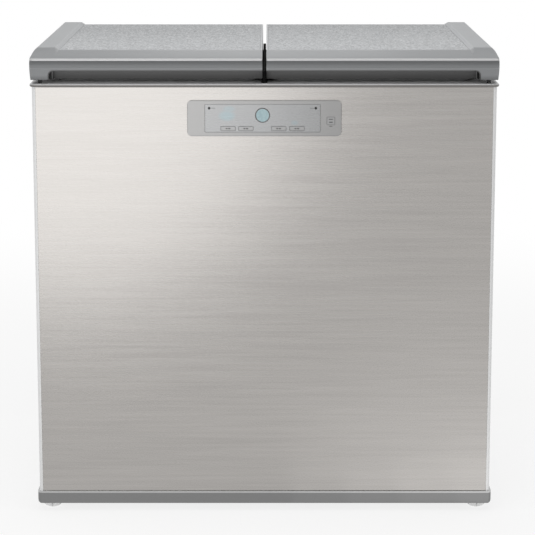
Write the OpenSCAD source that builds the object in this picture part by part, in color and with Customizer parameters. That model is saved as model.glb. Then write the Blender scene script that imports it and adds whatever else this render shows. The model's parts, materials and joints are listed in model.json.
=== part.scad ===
// Two-lid kimchi refrigerator: a chest cabinet with two drawn tubs, two top lids and a
// machine room low at the back. Millimetres, +Z up, front towards -Y, floor at Z = 0.

/* [Cabinet] */
// Width over the painted side panels
body_w = 918; // [900:1:925]
// Y of the brushed front panel's face
front_y = -356; // [-358:1:-350]
// Y of the back panel's face
back_y = 345; // [340:1:350]
// Thickness of the foam walls round the tubs
wall = 66; // [60:1:70]
// Width of the foam between the two tubs
mullion = 72; // [66:1:80]

/* [Heights] */
// Underside of the base trim
trim_z = 16; // [15:1:18]
// Bottom edge of the painted panels
case_z = 41; // [40:1:42]
// Top edge of the painted panels
case_top = 867.5; // [850:0.5:870]
// Thickness of the top frame
frame_t = 7.5; // [7:0.5:10]
// Gap between the top frame and the lid, filled by the gasket
seal_gap = 7; // [6:0.5:8]
// Height of a lid from its underside to its deck
lid_t = 53; // [50:1:56]
// How far the side rim of a lid stands above its deck
rim_h = 5; // [4:1:6]

/* [Lids] */
// Width over both lids
lids_w = 925; // [920:1:926]
// Gap between the two lids
lid_gap = 8; // [6:1:10]
// Y of the lids' front ridge
lid_front = -365; // [-368:1:-362]
// Y of the hinge axis
hinge_y = 325; // [320:1:328]
// Width of the smooth rim along the outer side of a lid
rim_w = 45; // [42:1:48]
// Height of the finger grip under the lid's front edge
grip_h = 19.5; // [17:0.5:22]

/* [Tubs] */
// Y of the tubs' inner front face
tub_front = -292; // [-294:1:-288]
// Y of the tubs' inner back face
tub_back = 275; // [270:1:278]
// Y of the step between the deep well and the shallow part
tub_step_y = 0; // [-10:1:10]
// Floor of the deep front well
well_z = 150; // [140:1:160]
// Floor of the shallow rear part
shelf_z = 420; // [415:1:430]
// Corner radius of the tubs
tub_r = 20; // [16:1:24]

/* [Control panel] */
// Width of the panel's bezel
bezel_w = 305; // [300:1:310]
// Height of the bezel
bezel_h = 71; // [68:1:74]
// Height of the bezel's centre above the floor
bezel_z = 806; // [800:1:808]
// Travel of the keys
key_travel = 0.8; // [0.6:0.1:1]

/* [Feet and rollers] */
// Radius of a levelling foot's pad
foot_r = 19.5; // [18:0.5:21]
// Distance of feet and rollers from the middle
foot_x = 435; // [430:1:436]
// Radius of the rear rollers
roller_r = 17; // [16:1:18]

/* [Hidden] */
$fn = 48;
LEFT = -1;
RIGHT = 1;
sheet = 1;                              // painted sheet steel
half_w = body_w / 2;
frame_top = case_top + frame_t;
lid_z = frame_top + seal_gap;           // underside of the lids
deck_z = lid_z + lid_t;
hinge_z = lid_z + lid_t / 2;
lid_tail_r = lid_t / 2;                 // the lid's rounded back, centred on the hinge axis
lid_in = lid_gap / 2;                   // inner side of a lid
lid_out = lids_w / 2;                   // outer side of a lid
tub_in = mullion / 2;                   // a tub's inner faces, nearer and further from the middle
tub_out = half_w - wall - 5;
tub_t = 2;
tub_top = case_top;
flange_w = 12;
rise = 42.2;                            // top of the bottom plate
room_y = 55;                            // machine room: front wall and ceiling
room_z = 350;
hinge_xs = [70, 392];
pin_r = 4;
foot_y = -323;
roller_y = 300;
compressor_at = [245, 195];
fan_x = -58;
fan_yz = [200, 160];
gland_at = [400, 120];                  // X and Z of the cord's way out
face_y = front_y - 3;                   // front face of the bezel
window_x = -3.6;
window_w = 229;
window_h = 56;
round_key_z = 812;
round_key_r = 13.4;
key_z = 785.6;
key_xs = [-71.7, -36.5, 28.4, 64.4];
key_w = 29;
key_h = 8.7;
lock_x = 131.4;
lock_z = 800.8;
lock_w = 16;

// ---- shapes used throughout: every span is [low, high] ----
module block(x, y, z)
  translate([x[0], y[0], z[0]]) cube([x[1] - x[0], y[1] - y[0], z[1] - z[0]]);

module rod_x(x, y, z, r) translate([x[0], y, z]) rotate([0, 90, 0]) cylinder(h = x[1] - x[0], r = r);
module rod_y(x, y, z, r) translate([x, y[1], z]) rotate([90, 0, 0]) cylinder(h = y[1] - y[0], r = r);
module rod_z(x, y, z, r) translate([x, y, z[0]]) cylinder(h = z[1] - z[0], r = r);

module round_outline(u, v, r) {
  translate([u[0] + r, v[0]]) square([u[1] - u[0] - 2 * r, v[1] - v[0]]);
  translate([u[0], v[0] + r]) square([u[1] - u[0], v[1] - v[0] - 2 * r]);
  for (cu = [u[0] + r, u[1] - r], cv = [v[0] + r, v[1] - r]) translate([cu, cv]) circle(r);
}

// Extrusions of a flat outline along Z, along Y (outline in X, Z) and along X (outline in Y, Z)
module along_z(z) translate([0, 0, z[0]]) linear_extrude(z[1] - z[0]) children();
module along_y(y) translate([0, y[1], 0]) rotate([90, 0, 0]) linear_extrude(y[1] - y[0]) children();
module along_x(x) translate([x[0], 0, 0]) rotate([90, 0, 90]) linear_extrude(x[1] - x[0]) children();

// Draws its children on the right, or mirrored on the left
module on_side(side) if (side == LEFT) mirror([1, 0, 0]) children(); else children();
module both_sides() for (side = [LEFT, RIGHT]) on_side(side) children();

function arc(c, r, from, to, n) =
  [for (i = [0:n]) c + r * [cos(from + (to - from) * i / n), sin(from + (to - from) * i / n)]];

// ---- tubes swept along a list of points ----
function unit(v) = v / norm(v);
function tangent(p, i) = unit(p[min(i + 1, len(p) - 1)] - p[max(i - 1, 0)]);
function across(t, n) = unit(n - (n * t) * t);
function start_across(t) = across(t, abs(t[2]) < 0.9 ? [0, 0, 1] : [1, 0, 0]);
function carried(p, i, n, done) =
  i == len(p) ? done : let (m = across(tangent(p, i), n)) carried(p, i + 1, m, concat(done, [m]));

module tube(p, r, sides = 8) {
  last = len(p) - 1;
  normals = carried(p, 0, start_across(tangent(p, 0)), []);
  points = [for (i = [0:last]) let (t = tangent(p, i), n = normals[i], b = cross(t, n))
    for (k = [0:sides - 1]) p[i] + r * (cos(360 * k / sides) * n + sin(360 * k / sides) * b)];
  walls = [for (i = [0:last - 1], k = [0:sides - 1]) let (a = i * sides, m = (k + 1) % sides)
    each [[a + k, a + m, a + sides + k], [a + m, a + sides + m, a + sides + k]]];
  ends = [for (k = [1:sides - 2])
    each [[0, k + 1, k], [last * sides, last * sides + k, last * sides + k + 1]]];
  polyhedron(points = points, faces = [for (f = concat(walls, ends)) [f[0], f[2], f[1]]]);
}

// ---- painted case ----
// Plan of what fills the case, with its front corners inside the side panels' round corners
module case_plan() {
  x = half_w - sheet;
  polygon([[-x, back_y - 2], [-x, front_y + 7.2], [-x + 2.9, front_y + 2],
           [x - 2.9, front_y + 2], [x, front_y + 7.2], [x, back_y - 2]]);
}

module side_panel(side) color("gainsboro") on_side(side) {
  corner = 7;
  lap = 20;
  cx = half_w - corner;
  difference() {
    union() {
      block([half_w - sheet, half_w], [front_y + corner, back_y - 1], [case_z, case_top]);
      along_z([case_z, case_top]) intersection() {
        difference() {
          translate([cx, front_y + corner]) circle(corner);
          translate([cx, front_y + corner]) circle(corner - sheet);
        }
        translate([cx, front_y]) square(corner);
      }
      block([half_w - lap, cx + 2], [front_y + sheet, front_y + 2 * sheet], [case_z, case_top]);
      block([half_w - lap, half_w], [back_y - 2 * sheet, back_y - sheet], [case_z, case_top]);
    }
    cover_screw_places() rod_y(0, [-5, 5], 0, 2.2);
  }
}

module front_panel() color("silver") difference() {
  block([-half_w + 7.3, half_w - 7.3], [front_y, front_y + sheet], [case_z + 0.5, case_top - 0.5]);
  along_y([front_y - 1, front_y + 2])
    round_outline([-bezel_w / 2 + 6, bezel_w / 2 - 6],
                  [bezel_z - bezel_h / 2 + 6, bezel_z + bezel_h / 2 - 6], 3.4);
}

module back_panel() color("lightgray") difference() {
  block([-half_w + 1, half_w - 1], [back_y - sheet, back_y], [room_z + 1, case_top]);
  both_sides() for (z = [500, 690]) block([80, 380], [back_y - 0.4, back_y + 1], [z - 60, z + 60]);
}

module bottom_plate() color("darkgray") difference() {
  along_z([case_z, rise]) case_plan();
  both_sides() rod_z(foot_x, foot_y, [case_z - 1, rise + 1], 6);
}

module base_trim() color("gray") {
  outer = half_w + 3.5;
  depth = 36;
  skin = 3;
  top = case_z - 3;
  difference() {
    intersection() {
      along_z([trim_z, case_z]) round_outline([-outer, outer], [front_y - 3.5, front_y + 60], 8);
      along_y([front_y - 4, front_y + depth])
        round_outline([-outer, outer], [trim_z, case_z + 12], 8);
    }
    block([-outer + skin, outer - skin], [front_y - 0.5, front_y + depth + 1], [trim_z - 1, top]);
    both_sides() rod_z(foot_x, foot_y, [top - 1, case_z + 1], 6);
  }
}

module base_rails() color("gray") both_sides() {
  y = [front_y + 36.3, back_y - 1];
  block([half_w, half_w + 3], y, [trim_z + 2, case_z + 6]);
  difference() {
    block([half_w - 56, half_w], y, [case_z - 3, case_z]);
    rod_z(foot_x, foot_y, [case_z - 4, case_z + 1], 6);
  }
}

// ---- foam, tubs and the tube coil round each tub ----
// Plan spans of a tub grown by g on every side
function tub_x(g) = [tub_in - g, tub_out + g];
function tub_y(g) = [tub_front - g, tub_back + g];
function well_y(g) = [tub_front - g, tub_step_y + g];

module tub_shape(g, top, low = 0) {
  along_z([max(shelf_z - g, low), top]) round_outline(tub_x(g), tub_y(g), tub_r + g);
  along_z([max(well_z - g, low), top]) round_outline(tub_x(g), well_y(g), tub_r + g);
}

module liner(side) color("whitesmoke") on_side(side) difference() {
  union() {
    tub_shape(tub_t, tub_top);
    along_z([tub_top - 2, tub_top]) round_outline(tub_x(flange_w), tub_y(flange_w), tub_r + 12);
  }
  tub_shape(0, tub_top + 1);
}

// The coil lies in a band-shaped pocket of the foam, against the liner
module coil_pocket(g) along_z([coil_low - 20, coil_top + 20])
  round_outline(tub_x(g), tub_y(g), tub_r + g);

module foam_insulation() color("khaki") difference() {
  along_z([rise, case_top]) case_plan();
  block([-half_w, half_w], [room_y, back_y], [0, room_z]);
  both_sides() {
    tub_shape(tub_t, case_top + 1);
    coil_pocket(tub_t + 10);
    along_z([tub_top - 2, case_top + 1]) round_outline(tub_x(flange_w), tub_y(flange_w), tub_r + 12);
    rod_z(foot_x, foot_y, [rise - 1, 62], 6);
    for (x = coil_tail_xs)
      block([x - 14, x + 14], [tub_back + tub_t + 4, coil_tail_y + 6], [room_z - 1, coil_top + 12]);
  }
  block([-bezel_w / 2 + 4, bezel_w / 2 - 4], [front_y, front_y + 22],
        [bezel_z - bezel_h / 2 + 4, bezel_z + bezel_h / 2 - 4]);
}

coil_r = 4;
coil_low = 470;
coil_pitch = 75;
coil_turns = 5;
coil_top = coil_low + coil_pitch * (coil_turns - 1);
coil_gap = tub_t + coil_r + 0.5;        // from a tub's inner face to the tube's middle
coil_bend = tub_r + coil_gap;
coil_back = tub_back + coil_gap;
coil_tail_xs = [120, 300];              // the way out of the coil, and the way in
coil_tail_y = tub_back + 30;
coil_tail_end = room_z - 30;

// One turn round the tub, from its rear outer corner to its rear inner corner
function turn_corners() = let (x = tub_x(coil_gap), y = tub_y(coil_gap), r = coil_bend)
  [[[x[1] - r, y[1] - r], 90], [[x[1] - r, y[0] + r], 0],
   [[x[0] + r, y[0] + r], -90], [[x[0] + r, y[1] - r], -180]];
function turn(z) = [for (c = turn_corners()) for (p = arc(c[0], coil_bend, c[1], c[1] - 90, 4))
  [p[0], p[1], z]];
// From the machine room up to height z behind the tub
function tail(x, z) = [[x, coil_tail_y, coil_tail_end], [x, coil_tail_y, z - 10],
  [x, coil_tail_y - 3, z - 3], [x, coil_tail_y - 10, z]];
function reversed(p) = [for (i = [len(p) - 1:-1:0]) p[i]];
function coil_path() = concat(
  tail(coil_tail_xs[1], coil_low),
  [[coil_tail_xs[1] + 3, coil_back + 3, coil_low], [coil_tail_xs[1] + 12, coil_back, coil_low]],
  [for (i = [0:coil_turns - 1]) each turn(coil_low + coil_pitch * i)],
  [[coil_tail_xs[0] - 12, coil_back, coil_top], [coil_tail_xs[0] - 3, coil_back + 3, coil_top]],
  reversed(tail(coil_tail_xs[0], coil_top)));

// Least clear distance of a tube to itself, between rings more than `apart` apart
function least_gap(p, r, apart) = min([for (i = [0:len(p) - 1], j = [i + apart:1:len(p) - 1])
  norm(p[i] - p[j])]) - 2 * r;

module evaporators() color("peru") both_sides() tube(coil_path(), coil_r);

module sensor_covers() color("white") both_sides()
  along_y([tub_back - 7, tub_back]) round_outline([190, 234], [640, 670], 5);

// ---- top of the cabinet ----
module bead_bar(length) rotate([0, 90, 0]) cylinder(h = length, r = frame_t / 2);

module top_frame() color("dimgray") {
  bead = frame_t / 2;
  z = case_top + bead;
  x = half_w + 0.5;
  y = front_y - 1.5;
  corner = 8;
  difference() {
    union() {
      block([-x, x], [y + corner, back_y - 0.5], [case_top, frame_top]);
      block([-x + corner, x - corner], [y, y + corner + 1], [case_top, frame_top]);
      both_sides() {
        translate([x - corner, y + corner, case_top]) cylinder(h = frame_t, r = corner);
        translate([x - corner, y + corner, z]) rotate_extrude(angle = -90)
          translate([corner, 0]) circle(bead);
        rod_y(x, [y + corner, back_y - 6], z, bead);
      }
      rod_x([-x + corner, x - corner], y, z, bead);
    }
    both_sides() {
      along_z([case_top - 1, frame_top + 1]) round_outline(tub_x(0), tub_y(0), tub_r);
      hinge_screw_places() rod_z(0, 0, [case_top + 0.5, frame_top + 1], 2.5);
    }
  }
}

module mullion_cover() color("black") {
  half = 6;
  rib = 3;
  nose = front_y + 2;
  base = [frame_top, frame_top + 5];
  block([-half, half], [nose + half, 300], base);
  rod_z(0, nose + half, base, half);
  block([-rib, rib], [nose + rib + 1, 250], [base[1] - 1, lid_z + 16.5]);
  rod_z(0, nose + rib + 1, [base[1] - 1, lid_z + 16.5], rib);
}

module lid_bumpers() color("black") both_sides()
  rod_z(443, front_y + 8, [frame_top, frame_top + seal_gap - 0.5], 4);

// ---- machine room ----
module machine_partition() color("silver") difference() {
  union() {
    block([-half_w + sheet, half_w - sheet], [room_y, room_y + sheet], [rise, room_z]);
    block([-half_w + sheet, half_w - sheet], [room_y, back_y - 2], [room_z - sheet, room_z]);
  }
  both_sides() for (x = coil_tail_xs) rod_z(x, coil_tail_y, [room_z - 5, room_z + 5], 6);
}

module machine_cover() color("slategray") difference() {
  block([-half_w + 4, half_w - 4], [back_y - sheet, back_y + 1.5], [rise + 1, room_z]);
  for (x = [-330:30:-60], z = [90:22:266])
    block([x - 11, x + 11], [back_y - 3, back_y + 3], [z, z + 7]);
  for (x = [130:30:330], z = [200:22:288])
    block([x - 11, x + 11], [back_y - 3, back_y + 3], [z, z + 7]);
  rod_y(gland_at[0], [back_y - 3, back_y + 3], gland_at[1], 8);
  cover_screw_places() rod_y(0, [-3, 3], 0, 2.2);
}

module cord_gland() color("black") difference() {
  union() {
    rod_y(gland_at[0], [back_y - 9, back_y + 9], gland_at[1], 7.9);
    rod_y(gland_at[0], [back_y + 1.5, back_y + 4.5], gland_at[1], 11);
    rod_y(gland_at[0], [back_y - 4.5, back_y - 1], gland_at[1], 10);
  }
  rod_y(gland_at[0], [back_y - 10, back_y + 10], gland_at[1], 4.5);
}

module wall_spacers() color("gray") both_sides()
  along_y([back_y, -lid_front]) round_outline([350, 410], [770, 810], 8);

module cover_screw_places() both_sides() for (z = [70, 160, 250, 330])
  translate([half_w - 10, back_y, z]) children();

module hinge_screw_places() for (x = hinge_xs, y = [hinge_y - 13, hinge_y + 13])
  translate([x, y, 0]) children();

module screws() color("silver") {
  cover_screw_places() {
    rod_y(0, [-8, 2], 0, 2.1);
    rod_y(0, [1.5, 4], 0, 4);
  }
  both_sides() hinge_screw_places() {
    rod_z(0, 0, [case_top + 0.5, frame_top + 3], 2.5);
    rod_z(0, 0, [frame_top + 3, frame_top + 5.5], 4.5);
  }
  compressor_foot_places() {
    rod_z(0, 0, [rise, 66], 3.9);
    rod_z(0, 0, [59, 64], 7);
  }
}

module compressor_foot_places() for (x = [-85, 85], y = [-55, 55])
  translate([compressor_at[0] + x, compressor_at[1] + y, 0]) children();

module compressor() color([0.12, 0.12, 0.13]) {
  low = 66;
  high = 205;
  r = 72;
  dome = 34;
  difference() {
    union() {
      translate([compressor_at[0], compressor_at[1], 0]) rotate_extrude() polygon(concat(
        [[0, low], [r - 18, low], [r, low + 16]],
        [for (a = [0:11.25:90]) [(r - dome) + dome * cos(a), high - dome + dome * sin(a)]],
        [[0, high]]));
      block([compressor_at[0] - 100, compressor_at[0] + 100],
            [compressor_at[1] - 68, compressor_at[1] + 68], [56, 59]);
      for (a = [-1, 1]) block([compressor_at[0] - 46, compressor_at[0] + 46],
            [compressor_at[1] + 34 * a - 4, compressor_at[1] + 34 * a + 4], [58, 72]);
      block([compressor_at[0] + r - 8, compressor_at[0] + r + 24],
            [compressor_at[1] - 30, compressor_at[1] + 30], [110, 170]);
    }
    compressor_foot_places() rod_z(0, 0, [50, 60], 4.2);
  }
}

module compressor_mounts() color("black") compressor_foot_places() difference() {
  union() {
    rod_z(0, 0, [rise, 56], 11);
    rod_z(0, 0, [rise + 5, rise + 9], 13);
  }
  rod_z(0, 0, [rise - 1, 57], 4.2);
}

module condenser() color("darkgray") {
  bend_r = 3.4;
  columns = [-245, -165];
  for (y = [112:8:288]) block([-290, -120], [y, y + 0.8], [62, 248]);
  for (x = columns) {
    for (z = [80:30:230]) rod_y(x, [100, 300], z, 4);
    for (z = [110:60:200]) rod_z(x, 105.5, [z, z + 30], bend_r);
    for (z = [80:60:200]) rod_z(x, 294.5, [z, z + 30], bend_r);
  }
  rod_x(columns, 105.5, 80, bend_r);
  for (x = [[-290, -282], [-128, -120]]) block(x, [111, 290], [rise, 63]);
}

module fan_shroud() color("whitesmoke") {
  half = 100;
  y = fan_yz[0];
  z = fan_yz[1];
  ring_x = [fan_x + 41, fan_x + 46];
  difference() {
    union() {
      block([fan_x, fan_x + 4], [y - half, y + half], [z - half, z + half]);
      for (d = [-80, 80]) block([fan_x, fan_x + 20], [y + d - 10, y + d + 10], [rise, z - half + 3]);
    }
    rod_x([fan_x - 1, fan_x + 5], y, z, 82);
  }
  // four arms that hold the motor's ring in front of the plate
  for (a = [45:90:315]) translate([0, y, z]) rotate([a, 0, 0]) along_z([-4, 4])
    polygon([[fan_x + 2, 112], [ring_x[0], 112], [ring_x[0] + 1, 34], [ring_x[1] - 1, 34],
             [ring_x[1] - 1, 120], [fan_x + 2, 120]]);
  difference() {
    rod_x(ring_x, y, z, 36);
    rod_x([ring_x[0] - 1, ring_x[1] + 1], y, z, 30);
  }
}

module fan_motor() color("dimgray") {
  rod_x([fan_x + 38, fan_x + 82], fan_yz[0], fan_yz[1], 30);
  rod_x([fan_x + 6, fan_x + 38], fan_yz[0], fan_yz[1], 3);
}

module fan_blades() color("white") difference() {
  blade_x = fan_x + 20;
  union() {
    rod_x([fan_x + 8, fan_x + 32], fan_yz[0], fan_yz[1], 24);
    for (a = [0:72:288]) translate([blade_x, fan_yz[0], fan_yz[1]]) rotate([a, 0, 0])
      translate([0, 0, 20]) rotate([0, 0, 32]) intersection() {
        translate([-1, -26, 0]) cube([2, 52, 56]);
        translate([0, 0, 28]) rotate([0, 90, 0]) cylinder(h = 10, r = 32, center = true);
      }
  }
  rod_x([fan_x, fan_x + 34], fan_yz[0], fan_yz[1], 3.05);
}

box_x = [352, 446];
module control_box() color("lightgray") difference() {
  block(box_x, [90, 250], [rise, 240]);
  block([box_x[0] + 3, box_x[1] - 3], [93, 247], [56, 237]);
  for (z = [90:16:200]) block([box_x[0] - 5, box_x[0] + 5], [110, 230], [z, z + 6]);
}

pipe_r = 3.2;
module refrigerant_pipes() color("peru") {
  cx = compressor_at[0];
  cy = compressor_at[1];
  way_in = coil_tail_xs[1];
  way_out = coil_tail_xs[0];
  // discharge: compressor to the condenser
  tube([[cx - 40, cy - 56, 120], [cx - 40, cy - 72, 120], [cx - 48, cy - 88, 121],
        [cx - 70, cy - 104, 124], [cx - 110, cy - 116, 132], [60, 76, 150], [-60, 74, 180],
        [-140, 76, 222], [-158, 80, 229], [-165, 89, 230], [-165, 100, 230]], pipe_r);
  // condenser to the filter drier, and the drier itself
  tube([[-245, 100, 230], [-245, 90, 230], [-245, 82, 233], [-245, 77, 241], [-245, 76, 252],
        [-245, 76, 272]], pipe_r);
  tube([[-245, 76, 268], [-245, 76, 330]], 10, 12);
  // capillary: drier to the left coil
  tube([[-245, 76, 326], [-245, 76, 334], [-247, 80, 339], [-252, 92, 341], [-290, 250, 330],
        [-298, 290, 312], [-300, coil_tail_y - 5, 306], [-300, coil_tail_y, 311],
        [-300, coil_tail_y, coil_tail_end]], pipe_r / 2);
  // left coil to the right coil
  tube([[-way_out, coil_tail_y, coil_tail_end], [-way_out, coil_tail_y, 310],
        [-way_out + 4, coil_tail_y, 302], [-way_out + 14, coil_tail_y, 299],
        [way_out - 14, coil_tail_y, 299], [way_out - 4, coil_tail_y, 302],
        [way_out, coil_tail_y, 310], [way_out, coil_tail_y, coil_tail_end]], pipe_r);
  // suction: right coil to the compressor
  tube([[way_in, coil_tail_y, coil_tail_end], [way_in, coil_tail_y, 300],
        [way_in - 3, coil_tail_y - 4, 285], [way_in - 14, coil_tail_y - 12, 265],
        [cx + 18, cy + 96, 220], [cx + 3, cy + 94, 180], [cx, cy + 92, 156],
        [cx, cy + 86, 143], [cx, cy + 78, 138], [cx, cy + 68, 138]], pipe_r);
}

// ---- control panel ----
module bezel_outline(inset) round_outline(
  [-bezel_w / 2 + inset, bezel_w / 2 - inset],
  [bezel_z - bezel_h / 2 + inset, bezel_z + bezel_h / 2 - inset], 9 - min(inset, 6));

function window_span(g) = [[window_x - window_w / 2 - g, window_x + window_w / 2 + g],
                           [bezel_z - window_h / 2 - g, bezel_z + window_h / 2 + g]];

module key_outline(x, z, w, h, g, r) round_outline(
  [x - w / 2 - g, x + w / 2 + g], [z - h / 2 - g, z + h / 2 + g], r + g);

module control_bezel() color("darkgray") difference() {
  union() {
    along_y([face_y, front_y]) bezel_outline(0);
    along_y([front_y, front_y + 18]) bezel_outline(6.5);
  }
  along_y([face_y - 1, face_y + 3]) round_outline(window_span(0)[0], window_span(0)[1], 2);
  along_y([face_y + 2, front_y + 16]) bezel_outline(9);
  along_y([face_y - 1, face_y + 4]) key_outline(lock_x, lock_z, lock_w, lock_w, 0.2, 1.5);
}

module display_window() color([0.72, 0.74, 0.76]) difference() {
  along_y([face_y + 0.5, face_y + 3]) round_outline(window_span(-0.2)[0], window_span(-0.2)[1], 2);
  for (x = key_xs) along_y([face_y - 1, face_y + 4]) key_outline(x, key_z, key_w, key_h, 0.3, 1.5);
  rod_y(window_x, [face_y - 1, face_y + 4], round_key_z, round_key_r + 1.3);
}

// A keycap: its face, and a wider collar that holds it behind the plate
cap_back = face_y + 5.3;
module keycap(x, z, w, h) {
  along_y([face_y, cap_back - 2]) key_outline(x, z, w, h, 0, 1.5);
  along_y([cap_back - 2, cap_back]) key_outline(x, z, w, h, 1.2, 1.5);
}

module key(i) color("silver") keycap(key_xs[i], key_z, key_w, key_h);
module lock_key() color("silver") keycap(lock_x, lock_z, lock_w, lock_w);

module round_key() color("lightblue") {
  rod_y(window_x, [face_y - 0.6, cap_back - 2], round_key_z, round_key_r + 1);
  rod_y(window_x, [cap_back - 2, cap_back], round_key_z, round_key_r + 2.6);
}

// The display's board with a switch behind each key, and the main board in its box
module circuit_boards() color("darkgreen") {
  front = face_y + 15;
  switch = [cap_back + key_travel + 0.2, front + 0.5];
  along_y([front, front + 1.6]) bezel_outline(9);
  for (at = concat([for (x = key_xs) [x, key_z]], [[lock_x, lock_z], [window_x, round_key_z]]))
    block([at[0] - 3, at[0] + 3], switch, [at[1] - 3, at[1] + 3]);
  block([box_x[1] - 8, box_x[1] - 6.4], [100, 240], [60, 230]);
  for (y = [108, 232], z = [68, 222])
    rod_x([box_x[1] - 7, box_x[1] - 3], y, z, 3);
  for (y = [125, 160, 195]) block([box_x[1] - 34, box_x[1] - 8], [y, y + 22], [80 + y / 8, 130 + y / 4]);
}

// ---- levelling feet and rollers ----
module foot_brackets() color("silver") both_sides() difference() {
  block([foot_x - 22, foot_x + 22], [foot_y - 22, foot_y + 22], [28, case_z - 3]);
  rod_z(foot_x, foot_y, [20, 50], 5);
}

module foot_stud(side) color("silver") on_side(side) rod_z(foot_x, foot_y, [6, 56], 4.95);

module foot_pad(side) color("gainsboro") on_side(side) translate([foot_x, foot_y, 0]) difference() {
  bowl = 10;
  rotate_extrude() polygon(concat(
    [[0, 0]],
    [for (i = [0:6]) let (z = bowl * i / 6) [foot_r * sqrt(1 - pow((bowl - z) / 11, 2)), z]],
    [[foot_r, 13], [foot_r - 1.5, 15], [8, 15], [8, 27.8], [0, 27.8]]));
  rod_z(0, 0, [6, 30], 5);
  for (a = [0:60:300]) rotate([0, 0, a - 90]) block([12.5, 25], [-1.1, 1.1], [2, 16]);
}

roller_w = 24;
module roller_brackets() color("silver") both_sides() {
  x = [foot_x - roller_w / 2, foot_x + roller_w / 2];
  block([x[0] - 5, x[1] + 5], [roller_y - 14, roller_y + 14], [case_z - 6, case_z - 3]);
  for (e = [[x[0] - 5, x[0] - 2], [x[1] + 2, x[1] + 5]])
    block(e, [roller_y - 9, roller_y + 9], [roller_r - 8, case_z - 5]);
  rod_x([x[0] - 7, x[1] + 7], roller_y, roller_r, 4);
}

module roller(side) color("black") on_side(side) difference() {
  x = [foot_x - roller_w / 2, foot_x + roller_w / 2];
  rod_x(x, roller_y, roller_r, roller_r);
  rod_x([x[0] - 1, x[1] + 1], roller_y, roller_r, 4.06);
  for (e = [[x[0] - 1, x[0] + 2], [x[1] - 2, x[1] + 1]]) difference() {
    rod_x(e, roller_y, roller_r, roller_r - 4);
    rod_x([e[0] - 1, e[1] + 1], roller_y, roller_r, 7);
  }
}

// ---- hinges ----
ear_half = 9;
module hinge_brackets() color("silver") both_sides() for (x = hinge_xs) difference() {
  union() {
    block([x - 22, x + 22], [hinge_y - 19, hinge_y + 19], [frame_top, frame_top + 3]);
    for (e = [x - 17, x + 14]) {
      block([e, e + 3], [hinge_y - ear_half, hinge_y + ear_half], [frame_top + 2, hinge_z]);
      rod_x([e, e + 3], hinge_y, hinge_z, ear_half);
    }
  }
  rod_x([x - 30, x + 30], hinge_y, hinge_z, pin_r);
  for (y = [hinge_y - 13, hinge_y + 13]) rod_z(x, y, [frame_top - 1, frame_top + 4], 2.6);
}

module hinge_pins() color("silver") both_sides() for (x = hinge_xs)
  rod_x([x - 34, x + 34], hinge_y, hinge_z, pin_r);

spring_turns = 7;
spring_r = 6.8;
spring_wire = 1.1;
spring_pitch = 3;
// Up from the bracket, round the pin, and up to the lid
function spring_path(x) = let (from = x - spring_turns * spring_pitch / 2, to = 2 * x - from) concat(
  [[from, hinge_y + spring_r, frame_top + 3], [from, hinge_y + spring_r, hinge_z - 16],
   [from, hinge_y + spring_r, hinge_z - 8], [from + 0.1, hinge_y + spring_r, hinge_z - 4]],
  [for (i = [1:spring_turns * 8 - 1]) let (a = 45 * i)
    [from + spring_pitch * i / 8, hinge_y + spring_r * cos(a), hinge_z + spring_r * sin(a)]],
  [[to - 0.1, hinge_y + spring_r, hinge_z + 2], [to, hinge_y + spring_r - 0.2, hinge_z + 8],
   [to, hinge_y + spring_r - 1, hinge_z + 16]]);
module hinge_springs() color("dimgray") both_sides() for (x = hinge_xs)
  tube(spring_path(x), spring_wire, 6);

echo(spring_least_gap_mm = least_gap(spring_path(hinge_xs[0]), spring_wire, 5));
echo(coil_least_gap_mm = least_gap(coil_path(), coil_r, 6));

// ---- lids ----
ridge_r = 4.5;
ridge_z = deck_z - 14;
slope_y = lid_front + 74;
// Side outline of a lid: rounded tail, flat top, sloping front border, ridge, cove and lip
function lid_outline(top, slope_from, tail) = concat(
  arc([hinge_y, hinge_z], lid_tail_r, -90, 0, 8),
  arc([hinge_y, hinge_z], tail, 0, 90, 10),
  [[slope_from, top], [slope_from - 12, top - 0.8],
   [lid_front + 24, ridge_z + ridge_r + 3.4], [lid_front + 10, ridge_z + ridge_r + 1]],
  arc([lid_front + ridge_r, ridge_z], ridge_r, 90, 195, 7),
  [[lid_front + 2.6, ridge_z - 3.6], [lid_front + 5, ridge_z - 6.4],
   [lid_front + 6.4, ridge_z - 9.6], [lid_front + 6, ridge_z - 13],
   [lid_front + 4.2, ridge_z - 16], [lid_front + 2.6, lid_z + grip_h + 1.5],
   [lid_front + 2.9, lid_z + grip_h],
   [lid_front + 3.4, lid_z + 2], [lid_front + 5, lid_z]]);

module lid_side_shape() polygon(concat(
  [[lid_in, lid_z], [lid_in, deck_z + 20], [lid_out - 12, deck_z + 20]],
  [for (a = [90:-9:0]) [lid_out - 12 + 12 * cos(a), deck_z + rim_h - 30 + 30 * sin(a)]],
  [[lid_out, deck_z - 27], [lid_out - 0.8, deck_z - 38], [lid_out - 2.4, lid_z]]));

module lid_plan_shape() polygon(concat(
  arc([lid_in + 2.5, lid_front + 2.5], 2.5, 180, 270, 4),
  arc([lid_out - 8, lid_front + 8], 8, -90, 0, 8),
  arc([lid_out - 8, hinge_y + 24], 8, 0, 90, 8),
  [[lid_in, hinge_y + 40]]));

// The rim's soft inner edge in section: a share of its width, and a share of its height
rim_edge = [[0, -0.06], [0.2, 0.1], [0.5, 0.5], [0.8, 0.9], [1, 1], [(rim_w + 9) / 8, 1]];
function rim_section(top, h) = [for (e = rim_edge) [lid_out - rim_w - 8 + 8 * e[0], top + h * e[1]]];

module rim_shape() polygon(concat([[lid_out - rim_w - 8, lid_z + 10]],
  rim_section(deck_z, rim_h), [[lid_out + 1, lid_z + 10]]));

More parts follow.
